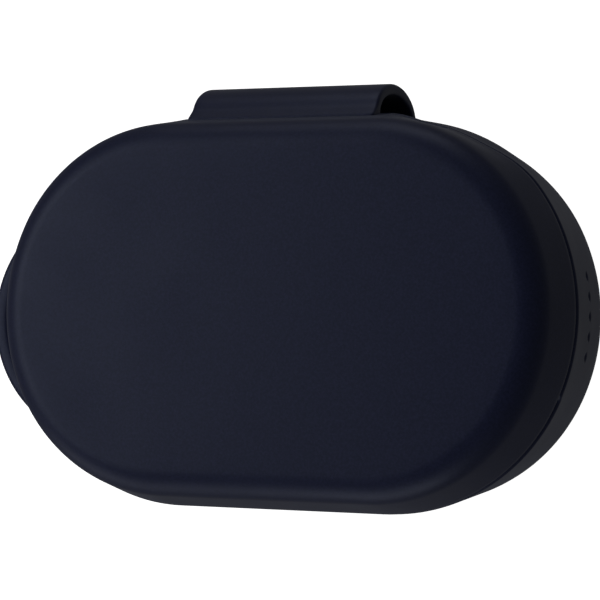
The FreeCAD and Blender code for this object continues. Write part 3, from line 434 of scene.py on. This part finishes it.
def make_strap():
    """The hollow arch over the hinge, with rounded edges at both open ends."""
    rounded = [(-STRAP_HALF_X + EDGE * (1 - math.sin(a)), EDGE * (1 - math.cos(a)))
               for a in arc_steps(math.pi / 2, 0, 4)]
    straight = [(x, 0.0) for x in arc_steps(-STRAP_HALF_X + EDGE, STRAP_HALF_X - EDGE, 24)[1:-1]]
    stops = rounded + straight + [(-x, shrink) for x, shrink in reversed(rounded)]
    sections = []
    for x, shrink in stops:
        sections.append([Vector((x, p.x + STRAP_Y, p.y + STRAP_Z)) for p in strap_section(shrink)])
    return section_sweep("hinge_strap_skin", sections)


def make_loop():
    """D-shaped lanyard loop with rounded edges that grows out of the left end."""
    centre = Vector((LOOP_RADIUS - LOOP_TIP_X, LOOP_Y))
    middle_r = LOOP_RADIUS - LOOP_BAND / 2
    sections = []
    for angle in arc_steps(math.pi - LOOP_REACH, math.pi + LOOP_REACH, 48):
        near_root = smooth(abs(angle - math.pi), *LOOP_ROOT)
        half_band = LOOP_BAND / 2 + LOOP_ROOT_WIDER * near_root
        half_tall = LOOP_THICK / 2 + LOOP_ROOT_TALLER * near_root
        out = Vector((math.cos(angle), math.sin(angle)))
        points = []
        for side, level, quarter in ((1, 1, 0), (-1, 1, 1), (-1, -1, 2), (1, -1, 3)):
            start = quarter * math.pi / 2
            for turn in arc_steps(start, start + math.pi / 2, 4):
                across = side * (half_band - LOOP_EDGE) + LOOP_EDGE * math.cos(turn)
                up = level * (half_tall - LOOP_EDGE) + LOOP_EDGE * math.sin(turn)
                spot = centre + out * (middle_r + across)
                points.append(Vector((spot.x, spot.y, LOOP_LOW_Z + LOOP_THICK / 2 + up)))
        sections.append(points)
    return section_sweep("lanyard_loop", sections)


def make_coil(node):
    """Round-wire coil with the outside size of one of the CAD's springs."""
    low, high = (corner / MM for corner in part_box(node))
    radius = (high.x - low.x) / 2 - COIL_WIRE_R
    rise = high.z - low.z - 2 * COIL_WIRE_R
    full_turn = 2 * math.pi
    sections = []
    for angle in arc_steps(0, COIL_TURNS * full_turn, COIL_TURNS * 16):
        out = Vector((math.cos(angle), math.sin(angle), 0))
        z = low.z + COIL_WIRE_R + rise * angle / (COIL_TURNS * full_turn)
        spot = Vector(((low.x + high.x) / 2, (low.y + high.y) / 2, z)) + out * radius
        sections.append([
            spot + (out * math.cos(turn) + Vector((0, 0, math.sin(turn)))) * COIL_WIRE_R
            for turn in arc_steps(0, full_turn, 8)[:-1]])
    return section_sweep(node + "_coil", sections)


# ------------------------------------------------------------------ materials
def new_material(name):
    """A material with nodes, its node tree and its main shader."""
    material = bpy.data.materials.new(name)
    material.use_nodes = True
    tree = material.node_tree
    shader = tree.nodes["Principled BSDF"]
    return material, tree, shader


def add(tree, kind, **settings):
    """A new node with some of its settings changed."""
    node = tree.nodes.new(kind)
    for name, value in settings.items():
        setattr(node, name, value)
    return node


def noise(tree, scale, detail=2.0, roughness=0.5):
    """Noise over the object's own coordinates; scale is in waves per metre."""
    where = tree.nodes.get("Where") or add(tree, "ShaderNodeTexCoord", name="Where")
    node = add(tree, "ShaderNodeTexNoise")
    node.inputs["Scale"].default_value = scale
    node.inputs["Detail"].default_value = detail
    node.inputs["Roughness"].default_value = roughness
    tree.links.new(where.outputs["Object"], node.inputs["Vector"])
    return node.outputs["Fac"]


def spread(tree, source, low, high, out_low, out_high):
    """Stretch a noise between two levels to a new range."""
    node = add(tree, "ShaderNodeMapRange")
    for name, value in (("From Min", low), ("From Max", high), ("To Min", out_low),
                        ("To Max", out_high)):
        node.inputs[name].default_value = value
    tree.links.new(source, node.inputs["Value"])
    return node.outputs["Result"]


def mix_colour(tree, factor, dark, light):
    """Two colours mixed by a noise."""
    node = add(tree, "ShaderNodeMix", data_type="RGBA")
    node.inputs["A"].default_value = (*dark, 1)
    node.inputs["B"].default_value = (*light, 1)
    tree.links.new(factor, node.inputs["Factor"])
    return node.outputs["Result"]


def bump(tree, shader, source, distance, strength):
    """Fine relief from a noise; distance is in metres."""
    node = add(tree, "ShaderNodeBump")
    node.inputs["Strength"].default_value = strength
    node.inputs["Distance"].default_value = distance
    tree.links.new(source, node.inputs["Height"])
    tree.links.new(node.outputs["Normal"], shader.inputs["Normal"])


def silicone():
    """Navy-black soft-touch silicone: fine speckle, faint mottling, soft sheen."""
    material, tree, shader = new_material("soft_silicone")
    speckle = spread(tree, noise(tree, 3600, detail=3, roughness=0.7), 0.38, 0.72, 0, 1)
    colour = mix_colour(tree, speckle, (0.0062, 0.0085, 0.0300), (0.0130, 0.0158, 0.0500))
    tree.links.new(colour, shader.inputs["Base Color"])
    patches = spread(tree, noise(tree, 140, detail=3), 0.3, 0.7, 0.42, 0.48)
    tree.links.new(patches, shader.inputs["Roughness"])
    shader.inputs["Specular IOR Level"].default_value = 0.35
    shader.inputs["Specular Tint"].default_value = (0.7, 0.78, 1.0, 1)
    shader.inputs["Sheen Weight"].default_value = 0.12
    shader.inputs["Sheen Roughness"].default_value = 0.3
    shader.inputs["Sheen Tint"].default_value = (0.8, 0.85, 1.0, 1)
    bump(tree, shader, noise(tree, 6500), 0.000012, 0.5)
    return material


def moulded(name, dark, light, rough, grain=4000, grain_depth=0.000008):
    """Injection-moulded plastic with a fine spark-eroded grain."""
    material, tree, shader = new_material(name)
    colour = mix_colour(tree, noise(tree, 900, detail=4), dark, light)
    tree.links.new(colour, shader.inputs["Base Color"])
    patches = spread(tree, noise(tree, 260, detail=3), 0.3, 0.7, rough - 0.06, rough + 0.06)
    tree.links.new(patches, shader.inputs["Roughness"])
    bump(tree, shader, noise(tree, grain, detail=3), grain_depth, 0.6)
    return material


def metal(name, dark, light, rough, stretch=1.0):
    """Metal with fine grain; stretch pulls the grain out along X like a brushed finish."""
    material, tree, shader = new_material(name)
    where = add(tree, "ShaderNodeTexCoord")
    place = add(tree, "ShaderNodeMapping")
    place.inputs["Scale"].default_value = (1 / stretch, 1, 1)
    grain = add(tree, "ShaderNodeTexNoise")
    grain.inputs["Scale"].default_value = 9000
    grain.inputs["Detail"].default_value = 3
    tree.links.new(where.outputs["Object"], place.inputs["Vector"])
    tree.links.new(place.outputs["Vector"], grain.inputs["Vector"])
    grey = grain.outputs["Fac"]
    tree.links.new(mix_colour(tree, grey, dark, light), shader.inputs["Base Color"])
    streaks = spread(tree, grey, 0.3, 0.7, rough * 0.8, rough * 1.25)
    tree.links.new(streaks, shader.inputs["Roughness"])
    shader.inputs["Metallic"].default_value = 1.0
    bump(tree, shader, grey, 0.000003, 0.4)
    return material


def clear_plastic(name, tint):
    """Slightly frosted clear plastic."""
    material, tree, shader = new_material(name)
    darker = tuple(c * 0.94 for c in tint)
    tree.links.new(mix_colour(tree, noise(tree, 700), tint, darker), shader.inputs["Base Color"])
    shader.inputs["Transmission Weight"].default_value = 0.7
    frost = spread(tree, noise(tree, 500), 0.3, 0.7, 0.12, 0.25)
    tree.links.new(frost, shader.inputs["Roughness"])
    return material


# Materials of the CAD's own nodes, by the name of the slot that each node's record gives.
SLOT_MATERIALS = {
    "case_plastic": moulded("case_plastic", (0.012, 0.012, 0.014), (0.02, 0.02, 0.023), 0.32),
    "tray_plastic": moulded("tray_plastic", (0.014, 0.014, 0.016), (0.024, 0.024, 0.027), 0.5),
    "hinge_steel": metal("hinge_steel", (0.48, 0.48, 0.5), (0.66, 0.66, 0.68), 0.32, 12),
    "pin_steel": metal("pin_steel", (0.55, 0.55, 0.57), (0.72, 0.72, 0.74), 0.22, 3),
    "contact_plastic": moulded("contact_plastic", (0.008, 0.008, 0.009), (0.016, 0.016, 0.018), 0.55),
    "contact_gold": metal("contact_gold", (0.78, 0.56, 0.22), (0.9, 0.7, 0.34), 0.22),
    "spring_steel": metal("spring_steel", (0.5, 0.5, 0.52), (0.68, 0.68, 0.7), 0.3),
    "battery_foil": metal("battery_foil", (0.6, 0.61, 0.62), (0.75, 0.76, 0.77), 0.4),
    "foam_tape": moulded("foam_tape", (0.05, 0.05, 0.05), (0.11, 0.11, 0.11), 0.9, 2500, 0.00004),
    "lead_insulation": moulded("lead_insulation", (0.3, 0.01, 0.01), (0.42, 0.02, 0.02), 0.45),
    "board_laminate": moulded("board_laminate", (0.005, 0.06, 0.025), (0.01, 0.1, 0.045), 0.4),
    "chip_resin": moulded("chip_resin", (0.012, 0.012, 0.012), (0.025, 0.025, 0.025), 0.6),
    "port_steel": metal("port_steel", (0.62, 0.62, 0.64), (0.78, 0.78, 0.8), 0.24, 8),
    "switch_metal": metal("switch_metal", (0.55, 0.55, 0.56), (0.7, 0.7, 0.71), 0.35, 6),
    "button_plastic": moulded("button_plastic", (0.02, 0.02, 0.023), (0.035, 0.035, 0.038), 0.42),
    "led_resin": moulded("led_resin", (0.7, 0.7, 0.6), (0.85, 0.85, 0.75), 0.3),
    "light_pipe_clear": clear_plastic("light_pipe_clear", (0.9, 0.93, 0.95)),
    "flex_film": moulded("flex_film", (0.28, 0.12, 0.02), (0.4, 0.18, 0.04), 0.35),
    "magnet_nickel": metal("magnet_nickel", (0.6, 0.6, 0.62), (0.74, 0.74, 0.76), 0.26),
    "screw_steel": metal("screw_steel", (0.12, 0.12, 0.13), (0.2, 0.2, 0.21), 0.38),
}


def dress(piece, material):
    """Give a piece one material, and nothing else."""
    piece.data.materials.clear()
    piece.data.materials.append(material)


# ------------------------------------------------------------------ pieces on their bodies
def dress_cad_nodes():
    """Give every CAD node that stays visible the material of its slot."""
    for part in frame["record"]["subparts"]:
        material = SLOT_MATERIALS.get(part["material_slot"])
        if material:
            dress(frame["nodes"][part["node"]], material)


def place_sleeve():
    """Sleeve halves, loop and strap, in silicone, in place of their CAD nodes."""
    rubber = silicone()
    lid, base = make_sleeve()
    strap = make_strap()
    loop = make_loop()
    for piece in (lid, base, strap, loop):
        dress(piece, rubber)
    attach(lid, "lid")
    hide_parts("sleeve_lid")
    for piece in (base, loop):
        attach(piece, "base")
        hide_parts("sleeve_base")
    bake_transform(strap)
    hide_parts("hinge_strap")


def place_springs():
    """Wire coils in place of the CAD's springs."""
    for contact in CONTACTS:
        node = f"contact_spring_{contact}"
        coil = make_coil(node)
        dress(coil, SLOT_MATERIALS["spring_steel"])
        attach(coil, "base")
        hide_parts(node)
        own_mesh(coil)


# ------------------------------------------------------------------ floor, light and camera
FLOOR_HALF = 1.5
FLOOR_GLOW, WORLD_GLOW = 1.0, 0.1
SOFTBOX_AWAY, SOFTBOX_SIDE, SOFTBOX_AIM_Z = 0.5, 0.3, 0.02

# Each light's name, azimuth and elevation in degrees, and power in watts.
SOFTBOXES = (("key_left", 179, 45, 0.47),
             ("key_back_left", 136, 46, 0.24),
             ("back_low", 94, 8, 0.3),
             ("front_low", 266, 8, 0.4),
             ("front_left_low", 226, 9, 0.2))

# The camera's turn from straight above, and its target and distance in millimetres.
CAMERA_YAW, CAMERA_PITCH, CAMERA_ROLL = math.radians(21.45), math.radians(-2.2), math.radians(1.2)
CAMERA_TARGET, CAMERA_AWAY = (-1.11, 1.6, 15.0), 241.3
CAMERA_LENS, CAMERA_SENSOR = 129.1, 36.0


def make_floor():
    """Large pale table that glows softly, as a light table does, but doesn't light the case."""
    bm = bmesh.new()
    bmesh.ops.create_grid(bm, x_segments=8, y_segments=8, size=FLOOR_HALF)
    floor = finish_mesh("floor", bm)
    material, tree, shader = new_material("pale_floor")
    colour = mix_colour(tree, noise(tree, 30), (0.78, 0.78, 0.78), (0.8, 0.8, 0.8))
    tree.links.new(colour, shader.inputs["Base Color"])
    shader.inputs["Roughness"].default_value = 0.9
    shader.inputs["Specular IOR Level"].default_value = 0.1
    shader.inputs["Emission Color"].default_value = (1, 1, 1, 1)
    shader.inputs["Emission Strength"].default_value = FLOOR_GLOW
    dress(floor, material)
    floor.visible_diffuse = False
    floor.visible_glossy = False


def softbox(name, azimuth, elevation, power):
    """Square area light on a sphere round the case, pointed at the middle of it."""
    turn, lift = math.radians(azimuth), math.radians(elevation)
    away = Vector((math.cos(lift) * math.cos(turn), math.cos(lift) * math.sin(turn),
                   math.sin(lift)))
    light = bpy.data.lights.new(name, "AREA")
    light.shape = "SQUARE"
    light.size = SOFTBOX_SIDE
    light.energy = power
    lamp = bpy.data.objects.new(name, light)
    lamp.location = away * SOFTBOX_AWAY + Vector((0, 0, SOFTBOX_AIM_Z))
    lamp.rotation_euler = (-away).to_track_quat("-Z", "Y").to_euler()
    bpy.context.scene.collection.objects.link(lamp)


def make_light():
    """Faint even light from all round, and the softboxes."""
    world = bpy.data.worlds.new("studio")
    world.use_nodes = True
    backdrop = world.node_tree.nodes["Background"]
    backdrop.inputs["Color"].default_value = (1, 1, 1, 1)
    backdrop.inputs["Strength"].default_value = WORLD_GLOW
    bpy.context.scene.world = world
    bpy.context.scene.view_settings.view_transform = "Standard"
    for name, azimuth, elevation, power in SOFTBOXES:
        softbox(name, azimuth, elevation, power)


def make_camera():
    """Camera nearly above the lid, turned a little towards the right end of the case."""
    towards = Vector((math.sin(CAMERA_YAW) * math.cos(CAMERA_PITCH), math.sin(CAMERA_PITCH),
                      math.cos(CAMERA_YAW) * math.cos(CAMERA_PITCH)))
    right = Vector((0, 1, 0)).cross(towards).normalized()
    up = towards.cross(right)
    x = right * math.cos(CAMERA_ROLL) + up * math.sin(CAMERA_ROLL)
    y = up * math.cos(CAMERA_ROLL) - right * math.sin(CAMERA_ROLL)
    place = (Vector(CAMERA_TARGET) + towards * CAMERA_AWAY) * MM
    camera = bpy.data.cameras.new("camera")
    camera.lens, camera.sensor_width = CAMERA_LENS, CAMERA_SENSOR
    camera.clip_start, camera.clip_end = 0.01, 10
    item = bpy.data.objects.new("camera", camera)
    item.matrix_world = Matrix((
        (x.x, y.x, towards.x, place.x), (x.y, y.y, towards.y, place.y),
        (x.z, y.z, towards.z, place.z), (0, 0, 0, 1)))
    bpy.context.scene.collection.objects.link(item)
    bpy.context.scene.camera = item


make_camera()
place_sleeve()
dress_cad_nodes()
place_springs()
make_floor()
make_light()
